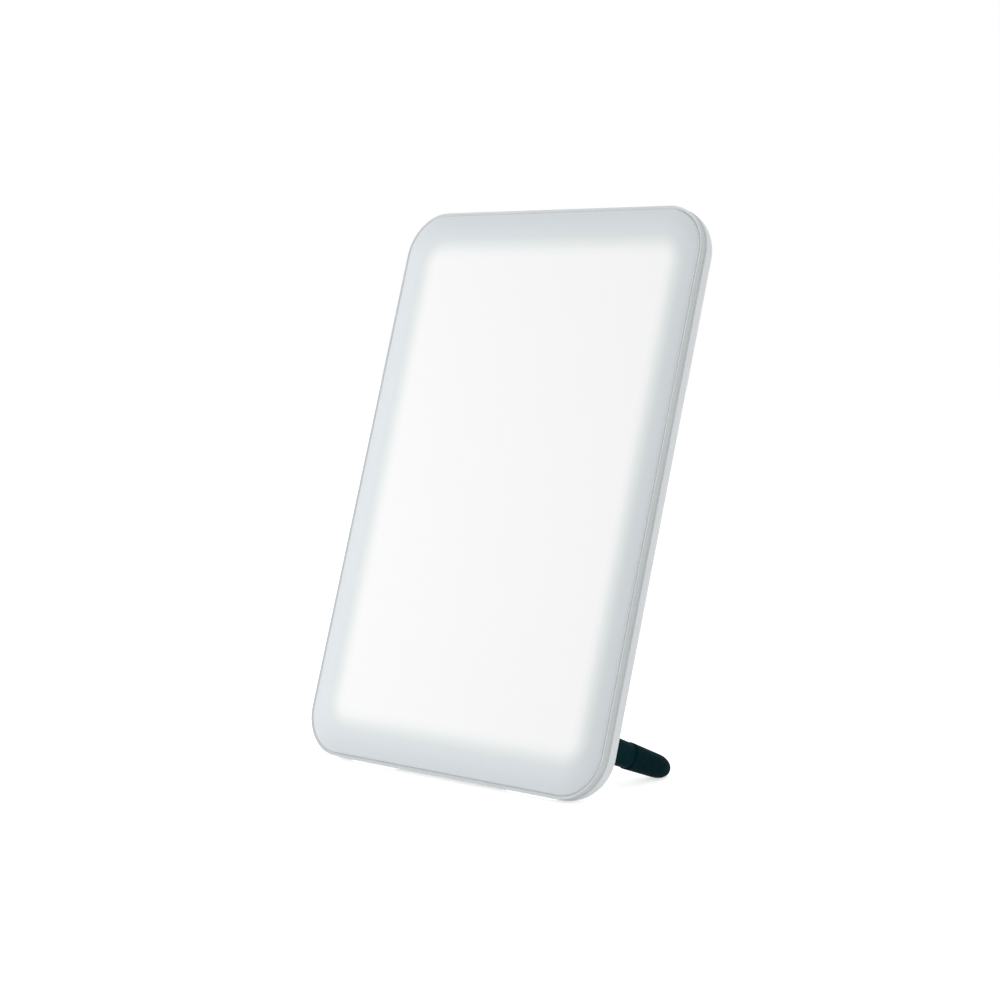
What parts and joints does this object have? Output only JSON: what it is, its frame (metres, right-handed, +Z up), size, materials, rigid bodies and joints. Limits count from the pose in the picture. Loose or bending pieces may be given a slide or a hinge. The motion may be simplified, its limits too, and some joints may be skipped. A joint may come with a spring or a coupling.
{
  "type": "light therapy lamp",
  "caption": "Slab-shaped light therapy lamp with an opal front that leans back on swing-out legs, with a power button and a low-voltage inlet at the back.",
  "frame": {"origin": "on the ground under the middle of the lamp's overall box, as it stands leaning back on its foot pads and leg tips", "axes": "+Z up, +X to the lamp's right seen from the front, +Y backwards, away from the lit face"},
  "size_m": [0.156, 0.0834, 0.2272],
  "materials": {
    "opal_cover": "satin opal acrylic, milky, lit from behind",
    "trim": "fine satin grey ring",
    "film": "frosted translucent sheet",
    "tray": "matt white reflector",
    "led_board": "white solder resist",
    "led_chip": "cream phosphor",
    "spreader": "bare rolled sheet",
    "steel_screw": "zinc-plated",
    "chassis": "plain moulded white plastic",
    "seal": "closed-cell foam",
    "housing": "fine spark-eroded texture, pale cool grey",
    "plug_cap": "soft matt caps in the housing's colour",
    "foot": "pale matt silicone",
    "plate": "fine brushed, blank",
    "driver_board": "green solder resist",
    "chip_black": "moulded black epoxy",
    "ferrite": "dark ferrite",
    "copper_wire": "enamelled copper winding",
    "can": "plain aluminium can",
    "socket": "natural nylon",
    "wire_red": "red insulation",
    "wire_black": "black insulation",
    "jack": "black moulded socket",
    "contact": "nickel-plated contact",
    "button": "satin cap",
    "bezel": "satin ring",
    "leg": "dark petrol-black glass-filled plastic",
    "boot": "dark petrol-black soft rubber",
    "bronze": "sintered bronze bush",
    "pin_steel": "ground dowel pin",
    "spring_steel": "spring steel"
  },
  "bodies": {
    "housing": {"front_diffuser": "opal_cover", "trim_ring": "trim", "diffuser_film": "film", "reflector_tray": "tray", "led_board": "led_board", "led_chips": "led_chip", "heat_spreader": "spreader", "spreader_screws": "steel_screw", "chassis_frame": "chassis", "seam_seal": "seal", "rear_housing": "housing", "housing_screws": "steel_screw", "screw_plugs": "plug_cap", "foot_pads": "foot", "rating_plate": "plate", "driver_board": "driver_board", "driver_screws": "steel_screw", "driver_chips": "chip_black", "inductor_core": "ferrite", "inductor_winding": "copper_wire", "capacitors": "can", "lead_socket": "socket", "lead_red": "wire_red", "lead_black": "wire_black", "jack_body": "jack", "jack_pin": "contact", "tact_switch": "chip_black", "button_bezel": "bezel", "right_hinge_pin": "pin_steel", "left_hinge_pin": "pin_steel", "right_hinge_washers": "spring_steel", "left_hinge_washers": "spring_steel"},
    "power_button": {"button_cap": "button", "switch_plunger": "chip_black"},
    "right_leg": {"right_leg": "leg", "right_leg_boot": "boot", "right_leg_bush": "bronze"},
    "left_leg": {"left_leg": "leg", "left_leg_boot": "boot", "left_leg_bush": "bronze"}
  },
  "joints": [
    {"name": "right_leg_swing", "type": "hinge", "parent": "housing", "child": "right_leg", "pos_m": [0.061, -0.02184, 0.02077], "axis": [0, 0.299, 0.9542], "range_deg": [0, 90]},
    {"name": "left_leg_swing", "type": "hinge", "parent": "housing", "child": "left_leg", "pos_m": [-0.061, -0.02184, 0.02077], "axis": [0, -0.299, -0.9542], "range_deg": [0, 90]},
    {"name": "button_press", "type": "slide", "parent": "housing", "child": "power_button", "axis": [0, -0.9542, 0.299], "range_m": [0, 0.0008], "stiffness_N_per_m": 800, "springref_m": -0.001}
  ]
}
